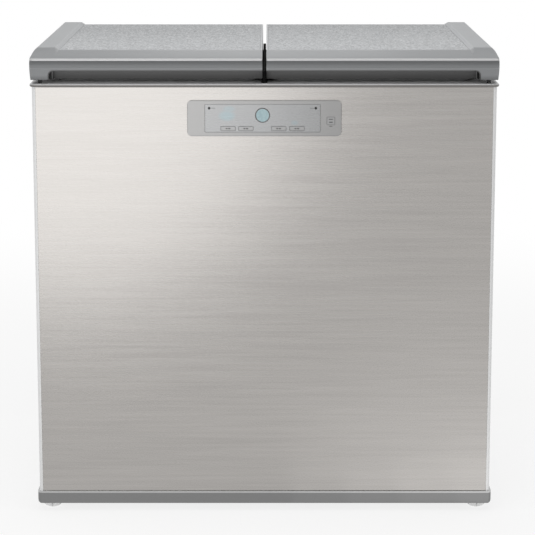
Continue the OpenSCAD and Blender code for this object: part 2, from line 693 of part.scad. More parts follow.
// The rim's front end, which sinks into the sloping border
module rim_nose() {
  rows = [[slope_y + 1, deck_z, rim_h], [slope_y, deck_z, rim_h], [slope_y - 12, deck_z - 0.8, rim_h],
          [lid_front + 23, ridge_z + ridge_r + 2.9, 0]];
  n = len(rim_edge) + 2;
  points = [for (row = rows) each concat([[lid_out - rim_w - 8, row[0], lid_z + 10]],
    [for (q = rim_section(row[1], row[2])) [q[0], row[0], q[1]]], [[lid_out + 1, row[0], lid_z + 10]])];
  skins = [for (r = [0:len(rows) - 2], i = [0:n - 1]) let (a = r * n, m = (i + 1) % n)
    each [[a + i, a + m, a + n + i], [a + m, a + n + m, a + n + i]]];
  last = (len(rows) - 1) * n;
  polyhedron(points = points, faces = concat(skins,
    [[for (i = [n - 1:-1:0]) i], [for (i = [0:n - 1]) last + i]]));
}

// The finger grip: open below, and towards the middle of the cabinet
module grip_outline(g) {
  end = 426 + g;
  top = lid_z + grip_h + g;
  r = 10.5 + g;
  translate([lid_in - 1, lid_z - 1]) square([end - r - lid_in + 1, top - lid_z + 1]);
  translate([lid_in - 1, lid_z - 1]) square([end - lid_in + 1, top - r - lid_z + 1]);
  translate([end - r, top - r]) circle(r);
}

grip_back = lid_front + 33;
cavity_y = [grip_back + 3, hinge_y - 31];
module lid_cavity() {
  block([lid_in + 3, lid_out - 4.5], cavity_y, [lid_z - 1, deck_z - 6]);
  block([lid_in + 6, lid_out - 14], [lid_front + 12, cavity_y[0] + 1], [lid_z + grip_h + 4, ridge_z - 2]);
  block([hinge_xs[0] + 42, hinge_xs[1] - 42], [hinge_y - 27, hinge_y + 13], [lid_z - 1, deck_z - 8]);
}

module hinge_notch(x) {
  block([x - 24, x + 24], [hinge_y - 27, hinge_y + 40], [lid_z - 1, hinge_z + 11]);
  rod_x([x - 24, x + 24], hinge_y, hinge_z, 21);
}

module lid_cover(side) color("gray") on_side(side) difference() {
  intersection() {
    union() {
      along_x([lid_in, lid_out]) polygon(lid_outline(deck_z, slope_y, lid_tail_r));
      intersection() {
        along_x([lid_out - rim_w - 8, lid_out])
          polygon(lid_outline(deck_z + rim_h, slope_y, lid_tail_r + rim_h));
        along_y([slope_y, hinge_y + 60]) rim_shape();
      }
      rim_nose();
    }
    along_y([lid_front - 1, hinge_y + 60]) lid_side_shape();
    along_z([lid_z - 1, deck_z + 20]) lid_plan_shape();
  }
  lid_cavity();
  block(deck_x, deck_y, [deck_z - 3, deck_z + 1]);
  along_y([lid_front - 1, grip_back]) grip_outline(0);
  for (x = hinge_xs) {
    hinge_notch(x);
    rod_x([x - 35, x + 35], hinge_y, hinge_z, pin_r + 0.06);
  }
}

deck_x = [lid_in + 4, lid_out - rim_w - 8.5];
deck_y = [slope_y + 1, hinge_y - 6];
module deck(side) color("darkgray") on_side(side)
  block([deck_x[0] + 0.2, deck_x[1] - 0.2], [deck_y[0] + 0.2, deck_y[1] - 0.2], [deck_z - 3, deck_z]);

plug_x = [tub_in + 10, tub_out - 10];
plug_y = [tub_front + 12, tub_back - 12];
plug_z = lid_z - 30;
module lid_liner(side) color("whitesmoke") on_side(side) difference() {
  union() {
    block([lid_in + 3, lid_out - 4.5], cavity_y, [lid_z, lid_z + 2]);
    along_z([plug_z, lid_z + 1]) round_outline(plug_x, plug_y, 16);
  }
  along_z([plug_z + 2, lid_z + 3])
    round_outline([plug_x[0] + 2, plug_x[1] - 2], [plug_y[0] + 2, plug_y[1] - 2], 14);
}

module lid_foam(side) color("khaki") on_side(side) {
  block([lid_in + 3, lid_out - 4.5], cavity_y, [lid_z + 2, deck_z - 6]);
  along_z([plug_z + 2, lid_z + 3])
    round_outline([plug_x[0] + 2, plug_x[1] - 2], [plug_y[0] + 2, plug_y[1] - 2], 14);
}

module gasket(side) color("dimgray") on_side(side) difference() {
  z = [frame_top + 0.2, lid_z];
  along_z(z) round_outline([14, 412], [-316, 294], 10);
  along_z([z[0] - 1, z[1] + 1]) round_outline([26, 400], [-304, 282], 8);
}

module grip(side) color("darkslategray") on_side(side) {
  difference() {
    along_y([lid_front + 6, grip_back]) intersection() {
      grip_outline(-0.1);
      translate([lid_in, lid_z]) square([500, 40]);
    }
    along_y([lid_front + 5, grip_back - 2]) grip_outline(-2);
  }
  block([417, 419], [lid_front + 14, grip_back - 1], [lid_z, lid_z + grip_h - 1]);
}

side_panel(LEFT);  // side_panel_left
side_panel(RIGHT);  // side_panel_right
front_panel();
back_panel();
bottom_plate();
base_trim();
base_rails();
foam_insulation();
liner(LEFT);  // liner_left
liner(RIGHT);  // liner_right
evaporators();
sensor_covers();
top_frame();
mullion_cover();
lid_bumpers();
machine_partition();
machine_cover();
cord_gland();
wall_spacers();
screws();
compressor();
compressor_mounts();
condenser();
fan_shroud();
fan_motor();
fan_blades();
refrigerant_pipes();
control_box();
control_bezel();
display_window();
circuit_boards();
round_key();
key(0);  // key_1
key(1);  // key_2
key(2);  // key_3
key(3);  // key_4
lock_key();
foot_brackets();
foot_stud(LEFT);  // foot_stud_left
foot_stud(RIGHT);  // foot_stud_right
foot_pad(LEFT);  // foot_pad_left
foot_pad(RIGHT);  // foot_pad_right
roller_brackets();
roller(LEFT);  // roller_left
roller(RIGHT);  // roller_right
hinge_brackets();
hinge_pins();
hinge_springs();
lid_cover(LEFT);  // lid_cover_left
lid_cover(RIGHT);  // lid_cover_right
deck(LEFT);  // deck_left
deck(RIGHT);  // deck_right
lid_liner(LEFT);  // lid_liner_left
lid_liner(RIGHT);  // lid_liner_right
lid_foam(LEFT);  // lid_foam_left
lid_foam(RIGHT);  // lid_foam_right
gasket(LEFT);  // gasket_left
gasket(RIGHT);  // gasket_right
grip(LEFT);  // grip_left
grip(RIGHT);  // grip_right
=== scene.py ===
# %% [markdown]
# The object is a chest refrigerator for kimchi: a steel cabinet with two drawn tubs and
# two lids that open upwards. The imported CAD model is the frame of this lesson. Every
# piece below is made in its coordinates, and most places are read from its solids.
# Its box is kept, because the finished look may not grow past it.

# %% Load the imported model
import functools
import json
import math

import bmesh
import bpy
from mathutils import Euler, Matrix, Vector

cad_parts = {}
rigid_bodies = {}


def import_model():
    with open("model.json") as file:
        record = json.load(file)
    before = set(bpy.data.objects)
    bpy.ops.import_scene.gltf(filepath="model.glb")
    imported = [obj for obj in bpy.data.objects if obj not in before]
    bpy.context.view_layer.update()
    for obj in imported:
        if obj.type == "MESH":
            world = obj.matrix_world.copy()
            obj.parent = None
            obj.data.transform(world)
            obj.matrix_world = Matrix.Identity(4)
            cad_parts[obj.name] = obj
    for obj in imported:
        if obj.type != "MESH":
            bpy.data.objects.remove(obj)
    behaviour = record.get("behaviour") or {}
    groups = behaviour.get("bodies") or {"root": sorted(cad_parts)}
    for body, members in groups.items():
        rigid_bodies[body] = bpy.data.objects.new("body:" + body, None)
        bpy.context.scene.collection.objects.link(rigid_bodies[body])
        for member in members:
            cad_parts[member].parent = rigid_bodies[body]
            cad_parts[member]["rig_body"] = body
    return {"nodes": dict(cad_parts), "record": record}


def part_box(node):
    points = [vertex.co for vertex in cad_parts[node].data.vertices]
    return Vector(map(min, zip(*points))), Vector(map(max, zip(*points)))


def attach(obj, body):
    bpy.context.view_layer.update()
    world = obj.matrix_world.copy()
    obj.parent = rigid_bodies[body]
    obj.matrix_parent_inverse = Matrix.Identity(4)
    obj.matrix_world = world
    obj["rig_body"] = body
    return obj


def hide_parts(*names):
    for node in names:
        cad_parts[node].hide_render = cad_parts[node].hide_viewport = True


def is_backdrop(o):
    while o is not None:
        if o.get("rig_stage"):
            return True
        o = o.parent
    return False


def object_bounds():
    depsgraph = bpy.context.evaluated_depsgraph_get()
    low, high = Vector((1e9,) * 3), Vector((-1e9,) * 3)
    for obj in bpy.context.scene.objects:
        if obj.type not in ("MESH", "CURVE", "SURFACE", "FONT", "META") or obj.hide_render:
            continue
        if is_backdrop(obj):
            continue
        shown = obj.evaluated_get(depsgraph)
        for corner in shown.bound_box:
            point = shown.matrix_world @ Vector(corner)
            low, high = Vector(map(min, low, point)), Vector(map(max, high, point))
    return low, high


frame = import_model()
cad_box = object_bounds()
MM = 0.001
print("size in mm:", [round(side / MM) for side in cad_box[1] - cad_box[0]])

# %% [markdown]
# The photograph is taken from about 4.3 m with a long lens, a little above the lids and
# square to the front. The camera is tilted down to the middle of the object, and the
# long lens keeps the upright edges nearly parallel all the same.

# %% Place the camera
CAMERA_PLACE = (0.0062, -4.678, 1.3455)
TILT_DOWN = 11.0
LENS, SENSOR = 148.0, 36.0

lens_data = bpy.data.cameras.new("studio_camera")
lens_data.lens = LENS
lens_data.sensor_width = SENSOR
camera = bpy.data.objects.new("studio_camera", lens_data)
camera.location = CAMERA_PLACE
camera.rotation_euler = Euler((math.radians(90 - TILT_DOWN), 0, 0))
bpy.context.scene.collection.objects.link(camera)
bpy.context.scene.camera = camera
bpy.context.scene.view_settings.view_transform = "Standard"
print("camera at", CAMERA_PLACE, "tilted down by", TILT_DOWN, "degrees")

# %% [markdown]
# A material is a small sum of textures. Written as nodes it takes many lines, so one
# class wraps the output of a node and lets Python's own + - * / build the Math nodes.
# A second class holds one material and makes every other node through one method.

# %% A number that varies over a surface
def operator(operation, flipped=False):
    """A method that adds a Math node; flipped where the signal stands on the right."""
    def method(self, other):
        values = (other, self) if flipped else (self, other)
        return self.math(operation, *values)
    return method


class Signal:
    """The output of a node. Arithmetic on it adds Math nodes to the same tree."""

    def __init__(self, tree, socket):
        self.tree = tree
        self.socket = socket

    def math(self, operation, *values, clamp=False):
        node = self.tree.nodes.new("ShaderNodeMath")
        node.operation = operation
        node.use_clamp = clamp
        for socket, value in zip(node.inputs, values):
            plug(self.tree, socket, value)
        return Signal(self.tree, node.outputs[0])

    __add__ = operator("ADD")
    __radd__ = operator("ADD", flipped=True)
    __sub__ = operator("SUBTRACT")
    __rsub__ = operator("SUBTRACT", flipped=True)
    __mul__ = operator("MULTIPLY")
    __rmul__ = operator("MULTIPLY", flipped=True)
    __truediv__ = operator("DIVIDE")
    larger = operator("MAXIMUM")

    def __abs__(self):
        return self.math("ABSOLUTE", self)

    def root(self):
        return self.math("SQRT", self)

    def clamped(self):
        return self.math("ADD", self, 0.0, clamp=True)

    def step(self, low, high):
        """0 below low, 1 above high, and a soft edge between them."""
        node = self.tree.nodes.new("ShaderNodeMapRange")
        node.interpolation_type = "SMOOTHSTEP"
        for name, value in (("Value", self), ("From Min", low), ("From Max", high)):
            plug(self.tree, node.inputs[name], value)
        return Signal(self.tree, node.outputs["Result"])

    def until(self, low, high):
        """1 below low, 0 above high, and a soft edge between them."""
        return 1 - self.step(low, high)


def plug(tree, socket, value):
    """Links a signal into a socket, or writes a plain value into it."""
    if isinstance(value, Signal):
        tree.links.new(value.socket, socket)
        return
    if socket.type == "RGBA" and len(value) == 3:
        value = (*value, 1.0)
    socket.default_value = value


print("arithmetic on signals ready")

# %% One material and the nodes it is made of
# The Mix node has sockets for every data type; these are its factor and its colours.
MIX_AMOUNT, MIX_FIRST, MIX_SECOND, MIX_RESULT = 0, 6, 7, 2
finishes = {}


class Finish:
    """A Principled material of one material slot, named in a maker's plain words."""

    def __init__(self, slot, color, roughness, metallic=0.0, **constants):
        self.slot = slot
        self.color = color
        self.roughness = roughness
        self.material = bpy.data.materials.new("finish_" + slot)
        self.material.use_nodes = True
        self.tree = self.material.node_tree
        self.shader = self.tree.nodes["Principled BSDF"]
        self.set("Base Color", color)
        self.set("Roughness", roughness)
        self.set("Metallic", metallic)
        for name, value in constants.items():
            self.set(name.replace("_", " "), value)
        self.point = self.node("ShaderNodeTexCoord", out="Object")
        axes = self.tree.nodes.new("ShaderNodeSeparateXYZ")
        plug(self.tree, axes.inputs[0], self.point)
        self.x, self.y, self.z = (Signal(self.tree, axis) for axis in axes.outputs)
        finishes[slot] = self

    def set(self, name, value):
        plug(self.tree, self.shader.inputs[name], value)

    def node(self, kind, settings=(), out=0, **sockets):
        """Adds a node: its settings first, then its sockets; returns one output."""
        node = self.tree.nodes.new(kind)
        for name, value in dict(settings).items():
            setattr(node, name, value)
        for name, value in sockets.items():
            plug(self.tree, node.inputs[name.replace("_", " ")], value)
        return Signal(self.tree, node.outputs[out])

    def stretched(self, scale):
        """Object coordinates, scaled so that a texture draws out where scale is small."""
        return self.node("ShaderNodeMapping", Vector=self.point, Scale=scale, out="Vector")

    def noise(self, scale, detail=2.0, stretch=None):
        return self.node("ShaderNodeTexNoise", out="Fac", Scale=scale, Detail=detail,
                         Vector=self.stretched(stretch) if stretch else self.point)

    def cells(self, scale, out="Distance", feature="F1", stretch=None):
        return self.node("ShaderNodeTexVoronoi", {"feature": feature}, out=out, Scale=scale,
                         Vector=self.stretched(stretch) if stretch else self.point)

    def flecks(self, scale, stretch=None):
        """Small cells that each have one number of their own, between 0 and 1."""
        cells = self.cells(scale, out="Color", stretch=stretch)
        return self.node("ShaderNodeSeparateColor", Color=cells)

    def mixed(self, amount, first, second, blend="MIX"):
        """A colour between the first and the second, by amount."""
        node = self.tree.nodes.new("ShaderNodeMix")
        node.data_type = "RGBA"
        node.blend_type = blend
        for index, value in ((MIX_AMOUNT, amount), (MIX_FIRST, first), (MIX_SECOND, second)):
            plug(self.tree, node.inputs[index], value)
        return Signal(self.tree, node.outputs[MIX_RESULT])

    def shaded(self, amount):
        """The finish's own colour times a signal near 1."""
        tint = self.node("ShaderNodeCombineColor", Red=amount, Green=amount, Blue=amount)
        return self.mixed(1.0, self.color, tint, "MULTIPLY")

    def bump(self, height, depth):
        """Bump of that depth in metres, into the shader's normal."""
        self.set("Normal", self.node("ShaderNodeBump", Height=height, Distance=depth,
                                     Strength=1.0, out="Normal"))


def grey(level, warm=0.0):
    """The linear colour of an sRGB grey level of 0 to 255; warm lifts red over blue."""
    parts = [(level + warm) / 255, level / 255, (level - warm) / 255]
    return tuple(((p + 0.055) / 1.055) ** 2.4 for p in parts)


print("a middle grey of 128 is", [round(part, 3) for part in grey(128)])

# %% [markdown]
# Brushed sheet steel is drawn under an abrasive belt, so its scratches all run one way,
# here from side to side. Each scratch is long in X and very thin in Z: a noise texture
# that is stretched along X gives it. Coarse streaks show from afar and fine ones close up.
# The bezel, the display window and the keys carry the same hairlines, printed more faintly.

# %% Hairlines for the front sheet and the key panel
def hairlines(finish, contrast, depth, spread):
    """Drives roughness and bump, and returns the colour with its streaks."""
    coarse = finish.noise(1.0, 3.0, (5.0, 1.0, 230.0))
    fine = finish.noise(1.0, 3.0, (12.0, 1.0, 2400.0))
    broad = finish.noise(1.0, 2.0, (1.2, 1.0, 28.0))
    streak = 0.45 * coarse + 0.35 * fine + 0.2 * broad
    finish.set("Roughness", (finish.roughness + spread * (streak - 0.5)).clamped())
    finish.bump(0.7 * fine + 0.3 * coarse, depth)
    return finish.shaded(1.0 + contrast * (streak - 0.5))


steel = Finish("brushed_steel", grey(163, 3), 0.27, 1.0)
steel.set("Base Color", hairlines(steel, contrast=0.42, depth=0.00006, spread=0.16))
print("front sheet hairlines done")

# %% [markdown]
# The key panel is silver-painted plastic. Its marks are printed, so they belong in the
# material: each mark is a box or a disc in Object coordinates with a soft edge of a
# fraction of a millimetre. The marks are plain bars and dots that name nothing. The darker
# rims along the edges of the bezel, the window and the keys are painted shade. Rims and
# the marks of the keys are placed from the solids that carry them.

# %% Printed marks as masks
def box_mm(node):
    """The lowest and the highest corner of a node, in millimetres."""
    return [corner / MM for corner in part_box(node)]


def front_of(node):
    """The middle of a node's front as (x, z) and its width and height, in millimetres."""
    low, high = box_mm(node)
    return ((low.x + high.x) / 2, (low.z + high.z) / 2), (high.x - low.x, high.z - low.z)


def shrunk(size, inset):
    return [side - 2 * inset for side in size]


def box_mark(finish, middle, size, edge=0.25):
    """1 inside an upright box, 0 outside it, in millimetres."""
    across = abs(finish.x - middle[0] * MM) - size[0] / 2 * MM
    up = abs(finish.z - middle[1] * MM) - size[1] / 2 * MM
    return across.larger(up).until(-edge * MM, edge * MM)


def disc_mark(finish, middle, radius, edge=0.2):
    """1 inside a disc, 0 outside it, in millimetres."""
    dx = finish.x - middle[0] * MM
    dz = finish.z - middle[1] * MM
    return (dx * dx + dz * dz).root().until((radius - edge) * MM, (radius + edge) * MM)


def glow_mark(finish, middle, size):
    """A blurred patch of light, in millimetres."""
    dx = (finish.x - middle[0] * MM) / (size[0] * MM)
    dz = (finish.z - middle[1] * MM) / (size[1] * MM)
    return (dx * dx + dz * dz).until(0.1, 1.0)


def together(marks):
    """One mask that shows every mark of a list."""
    return functools.reduce(Signal.larger, marks)


panel_middle, panel_size = front_of("control_bezel")
print("key panel in mm:", [round(side, 1) for side in panel_size])

# %% Bezel
# Ink for the printed marks; the same grey also paints shade on the rims along edges.
INK_AND_RIM_SHADE = grey(58)
BEZEL_RIM = 1.3
LOCK_BAR_DROP, LOCK_BAR = 10.6, (6.0, 1.6)

bezel = Finish("bezel_plastic", grey(144, 0.5), 0.3, 0.85)
face = hairlines(bezel, contrast=0.14, depth=0.00002, spread=0.1)
rim = 1 - box_mark(bezel, panel_middle, shrunk(panel_size, BEZEL_RIM), edge=0.5)
# The rim along the bezel's edge gets painted shade.
face = bezel.mixed(0.3 * rim, face, INK_AND_RIM_SHADE)
lock_x, lock_z = front_of("lock_key")[0]
lock_bar = box_mark(bezel, (lock_x, lock_z - LOCK_BAR_DROP), LOCK_BAR)
bezel.set("Base Color", bezel.mixed(0.7 * lock_bar, face, INK_AND_RIM_SHADE))
print("bezel finish done")

# %% Display window
GLOWS = (((-74.0, 811.0), (20, 13), 0.3),
         ((-70.0, 824.0), (15, 8), 0.2),
         ((60.0, 797.0), (9, 6), 0.2))
DOT_X, DOT_RADIUS = (-109.0, 101.6), 2.5
BAR_X, BAR = (-101.5, 94.0), (8.5, 1.6)
DIVIDER_X, DIVIDER = (-53.8, 46.8), (0.5, 30.0)
MARK_Z, DIVIDER_Z = 826.0, 817.0
WINDOW_RIM = 1.0
GLOW, DOT_INK = (0.20, 0.34, 0.38), grey(30)

window = Finish("window_plastic", grey(144, -0.5), 0.27, 0.85)
face = hairlines(window, contrast=0.12, depth=0.00002, spread=0.1)
lit = together([strength * glow_mark(window, middle, size) for middle, size, strength in GLOWS])
face = window.mixed(lit, face, GLOW)
dividers = together([box_mark(window, (x, DIVIDER_Z), DIVIDER, edge=0.3) for x in DIVIDER_X])
face = window.mixed(0.16 * dividers, face, INK_AND_RIM_SHADE)
bars = together([box_mark(window, (x, MARK_Z), BAR) for x in BAR_X])
face = window.mixed(0.42 * bars, face, INK_AND_RIM_SHADE)
dots = together([disc_mark(window, (x, MARK_Z), DOT_RADIUS) for x in DOT_X])
face = window.mixed(dots, face, DOT_INK)
middle, size = front_of("display_window")
# The rim round the window gets painted shade, where the window sits in the bezel.
rim = 1 - box_mark(window, middle, shrunk(size, WINDOW_RIM), edge=0.4)
window.set("Base Color", window.mixed(0.34 * rim, face, INK_AND_RIM_SHADE))
print("display window finish done")

# %% Keys
# Marks as (place from the key's middle, size). The flange of a key is behind the bezel.
KEY_MARKS = (((-2.9, 0.0), (3.6, 2.6)), ((2.4, 0.0), (4.2, 2.6)))
LOCK_MARKS = (((0.0, 3.2), (8.0, 1.7)), ((0.0, -2.6), (7.0, 2.2)))
KEY_FLANGE, KEY_RIM = 1.2, 0.75

caps = Finish("key_plastic", grey(144), 0.3, 0.85)
face = hairlines(caps, contrast=0.1, depth=0.00002, spread=0.1)
insides, marks = [], []
for node, key_marks in [("lock_key", LOCK_MARKS)] + [(f"key_{n}", KEY_MARKS) for n in (1, 2, 3, 4)]:
    (key_x, key_z), size = front_of(node)
    insides.append(box_mark(caps, (key_x, key_z), shrunk(size, KEY_FLANGE + KEY_RIM), edge=0.3))
    for (dx, dz), mark_size in key_marks:
        marks.append(box_mark(caps, (key_x + dx, key_z + dz), mark_size))
face = caps.mixed(0.8 * together(marks), face, INK_AND_RIM_SHADE)
# The rim of each cap gets painted shade, along the gap round the key.
caps.set("Base Color", caps.mixed(0.45 * (1 - together(insides)), face, INK_AND_RIM_SHADE))
print(len(insides), "keys with", len(marks), "printed bars")

# %% Round key, lit from behind
LENS_RADIUS = 12.7
LENS_DARK, LENS_PALE, KEY_RING = (0.31, 0.43, 0.46), (0.38, 0.50, 0.52), grey(88)
LIT, UNLIT, LIT_STRENGTH = (0.45, 0.85, 0.95), (0.0, 0.0, 0.0), 0.06

button = Finish("lit_key_plastic", grey(200), 0.3, Coat_Weight=0.4, Coat_Roughness=0.15)
middle, size = front_of("round_key")
rim = 1 - disc_mark(button, middle, LENS_RADIUS, edge=0.3)
shade = button.noise(240.0).step(0.35, 0.65)
button.set("Base Color", button.mixed(rim, button.mixed(shade, LENS_DARK, LENS_PALE), KEY_RING))
button.set("Emission Strength", LIT_STRENGTH)
button.set("Emission Color", button.mixed(rim, LIT, UNLIT))
print("round key of", round(size[0], 1), "mm done")

# %% [markdown]
# Painted sheet and painted mouldings look even from afar, yet close up the film has a
# faint orange peel, and a metallic paint holds flakes that each catch the light a little
# differently. Small cells, each with its own grey, make the flakes.

# %% Metallic and plain paint
def painted(slot, level, rough, metal=0.0, flake=0.05, peel=0.00004, warm=0.0, **constants):
    """Paint with an orange peel, cloudy by a trace, and with flakes of that contrast."""
    finish = Finish(slot, grey(level, warm), rough, metal, **constants)
    flakes = finish.flecks(2600.0)
    cloud = finish.noise(7.0, 3.0)
    finish.set("Base Color", finish.shaded(1 + flake * (flakes - 0.5) + 0.05 * (cloud - 0.5)))
    finish.set("Roughness", (rough + 0.06 * (flakes - 0.5) + 0.08 * (cloud - 0.5)).clamped())
    finish.bump(finish.noise(420.0), peel)
    return finish


painted("case_paint", 246, 0.32, flake=0.04)
painted("back_paint", 150, 0.5, metal=0.1)
painted("compressor_paint", 38, 0.28, flake=0.0, peel=0.00012, Coat_Weight=0.3)
painted("motor_steel", 84, 0.45, metal=0.2)
trim = painted("trim_plastic", 126, 0.32, metal=0.8)
# A painted highlight: a lighter line along the top edge of the base trim.
TOP_HIGHLIGHT_LINE = (0.0374, 0.0382)
trim.set("Base Color", trim.mixed(trim.z.step(*TOP_HIGHLIGHT_LINE), trim.color, grey(180)))
print(len(finishes), "finishes so far")

# %% [markdown]
# The cover of a lid is one moulding of one grey, and light and shade are painted on it.
# Each painted tone ends at a height or at a depth, so its mask is a step, or a product of
# steps. Heights are measured up from the lower edge of the lid and depths back from its
# front. The top is painted lighter, with painted shade on the border in front of the deck.
# A satin ridge runs along the front under it, with a painted highlight: a light strip that
# is half metallic. Below lies the recess for the fingers, with painted shade towards its
# top and its bottom, and a painted highlight on the lip between them.

# %% Painted light and shade on the lids' covers
# Each pair holds the two ends of a soft edge, in millimetres.
TOP_FROM, BORDER_DEPTH = (43.6, 44.2), (72.5, 74.5)
RIDGE_FROM, RIDGE_TO, RIDGE_DEPTH = (38.0, 38.6), (41.4, 43.4), (5.8, 6.4)
RECESS_TO, RECESS_DEPTH = (37.6, 38.2), (11.5, 14.5)
LIP_FROM, LIP_TO = (21.0, 21.6), (22.8, 23.4)
SHADE_UNDER_RIDGE, SHADE_NEAR_BOTTOM = (24.5, 35.8), (1.5, 10.5)

lid_corner = box_mm("lid_cover_left")[0]
lid_paint = painted("lid_plastic", 152, 0.42, flake=0.07, peel=0.00003, warm=-1.5,
                    Specular_IOR_Level=0.04)
height = lid_paint.z / MM - lid_corner.z
depth = lid_paint.y / MM - lid_corner.y
# Painted light and shade: the top is painted lighter, and the border in front of the deck gets
# painted shade.
top = height.step(*TOP_FROM)
border_shade = top * depth.until(*BORDER_DEPTH)
ridge_highlight = height.step(*RIDGE_FROM) * height.until(*RIDGE_TO) * depth.until(*RIDGE_DEPTH)
recess = height.until(*RECESS_TO) * depth.until(*RECESS_DEPTH)
# Painted shade in the finger recess, towards its top under the ridge and towards its bottom, and a
# painted highlight on the lip.
lip_highlight = height.step(*LIP_FROM) * height.until(*LIP_TO)
recess_shade = 0.34 * height.step(*SHADE_UNDER_RIDGE) + 0.3 * height.until(*SHADE_NEAR_BOTTOM) - 0.2 * lip_highlight - 0.05
tone = 1 + 0.3 * top - 0.28 * border_shade - recess * recess_shade
# A painted highlight along the ridge: a light grey strip, half metallic, so it reflects real light
# as well.
lid_paint.set("Base Color", lid_paint.mixed(ridge_highlight, lid_paint.shaded(tone), grey(196)))
lid_paint.set("Metallic", 0.5 * ridge_highlight)
print("lid tones from z", round(lid_corner.z, 1), "mm up")

# %% [markdown]
# The deck of a lid is a laminated sheet with glitter under a matt film. Cells of four
# sizes make it: two dense layers only vary the grey, one is drawn out from front to back,
# and a sparse one has a few bright cells, the flakes. The film has no shine of its own,
# and painted shade makes the grey a little darker towards the back.

# %% Glitter sheet
SHADE_TOWARDS_BACK = (-0.25, 0.3)

deck_sheet = Finish("deck_sheet", grey(196, -1.5), 0.42, Specular_IOR_Level=0.0)
dense = deck_sheet.flecks(620.0)
tiny = deck_sheet.flecks(1500.0)
drawn_out = deck_sheet.flecks(330.0, stretch=(1.0, 0.45, 1.0))
cloud = deck_sheet.noise(4.0, 3.0)
flake = deck_sheet.flecks(430.0).step(0.86, 0.93)
grain = 0.2 * (dense - 0.5) + 0.2 * (tiny - 0.5) + 0.36 * (drawn_out - 0.5) + 0.1 * (cloud - 0.5)
# Painted shade: the sheet is darker towards the back.
back_shade = 0.12 * deck_sheet.y.step(*SHADE_TOWARDS_BACK)
sheet = deck_sheet.shaded(1 + grain - back_shade)
deck_sheet.set("Base Color", deck_sheet.mixed(0.6 * flake, sheet, grey(240)))
deck_sheet.set("Roughness", (deck_sheet.roughness - 0.14 * flake + 0.1 * (tiny - 0.5)).clamped())
deck_sheet.bump(0.6 * dense + 0.4 * tiny, 0.00006)
print("glitter sheet done")

# %% [markdown]
# Moulded plastic and rubber take the texture of the mould, which is etched with a fine
# grain. The grain is bump with a trace of grey, the grey also varies a little where the
# melt flowed, and the roughness follows both.

# %% Moulded plastic and rubber
def moulded(slot, level, rough, grain=0.00006, warm=0.0, **constants):
    """Plastic or rubber with an etched grain of that depth, in metres."""
    finish = Finish(slot, grey(level, warm), rough, **constants)
    etched = finish.noise(1500.0, 3.0)
    cloud = finish.noise(14.0, 3.0)
    finish.set("Base Color", finish.shaded(1 + 0.08 * (cloud - 0.5) + 0.06 * (etched - 0.5)))
    finish.set("Roughness", (rough + 0.14 * (cloud - 0.5) + 0.1 * (etched - 0.5)).clamped())
    finish.bump(etched, grain)
    return finish


moulded("black_plastic", 20, 0.7, Specular_IOR_Level=0.03)
moulded("black_rubber", 34, 0.75, grain=0.00012)
moulded("fan_plastic", 222, 0.42, warm=2)
moulded("foot_plastic", 222, 0.4).set("Metallic", 0.7)
moulded("lid_liner_plastic", 236, 0.3, grain=0.00003, warm=1, Coat_Weight=0.2)
moulded("gasket_rubber", 140, 0.62, grain=0.00008)
grip_finish = moulded("grip_plastic", 90, 0.5, Specular_IOR_Level=0.2)
# The grip recess is painted lighter towards its top and gets painted shade towards its bottom.
GRIP_PAINTED_SHADE = (0.884, 0.900)
grip_finish.set("Base Color", grip_finish.shaded(0.95 + 1.1 * grip_finish.z.step(*GRIP_PAINTED_SHADE)))
print(len(finishes), "finishes so far")

# %% [markdown]
# The frame round the top of the cabinet is light. Along the front its bead wears a
# metallic film, and the lower part of the bead is a dark strip of painted shade. Depth
# tells the film from the plain plastic and height tells the shaded strip, so both masks
# are steps.

# %% The top frame, with painted shade under its bead
FILM_DEPTH, SHADED_STRIP_TOP = (-0.3585, -0.3575), (0.8722, 0.8727)

frame_finish = moulded("frame_plastic", 218, 0.42)
film = frame_finish.y.until(*FILM_DEPTH)
above_shaded_strip = frame_finish.z.step(*SHADED_STRIP_TOP)
pale = frame_finish.shaded(1 - 0.3 * film)
frame_finish.set("Metallic", 0.7 * film)
# Below the strip's top the bead is painted dark grey: painted shade under the bead.
frame_finish.set("Base Color", frame_finish.mixed(above_shaded_strip, grey(124, 2), pale))
print("top frame strip done")

# %% [markdown]
# Zinc plate shows spangles, large crystals of slightly different greys. Copper is drawn
# and darkens in patches, fins are plain rolled aluminium. The tubs are drawn aluminium
# with an embossed skin under a white coat, which hides scratches from containers.

# %% Metals inside and below
def plated(slot, level, rough, spangle, scale):
    """Bare metal with crystals of that contrast and scale, and with faint stains."""
    finish = Finish(slot, grey(level), rough, 1.0)
    crystal = finish.flecks(scale)
    stain = finish.noise(30.0, 4.0)
    finish.set("Base Color", finish.shaded(1 + spangle * (crystal - 0.5) + 0.1 * (stain - 0.5)))
    finish.set("Roughness", (rough + 0.2 * (crystal - 0.5) + 0.12 * (stain - 0.5)).clamped())
    finish.bump(finish.noise(900.0), 0.00002)
    return finish


plated("zinc_steel", 182, 0.38, spangle=0.16, scale=120.0)
plated("fin_aluminium", 205, 0.34, spangle=0.06, scale=400.0)
copper = plated("copper", 190, 0.3, spangle=0.06, scale=300.0)
patina = copper.noise(45.0, 4.0).step(0.4, 0.7)
copper.set("Base Color", copper.mixed(patina, (0.78, 0.36, 0.21), (0.46, 0.20, 0.12)))

tub_skin = Finish("liner_aluminium", grey(226), 0.32, 0.25, Coat_Weight=0.2, Coat_Roughness=0.3)
boss = tub_skin.cells(150.0, feature="SMOOTH_F1")
tub_skin.set("Base Color", tub_skin.shaded(1 + 0.1 * (0.5 - boss)))
tub_skin.set("Roughness", (tub_skin.roughness + 0.16 * boss).clamped())
tub_skin.bump(boss, 0.0004)
print("metals done")

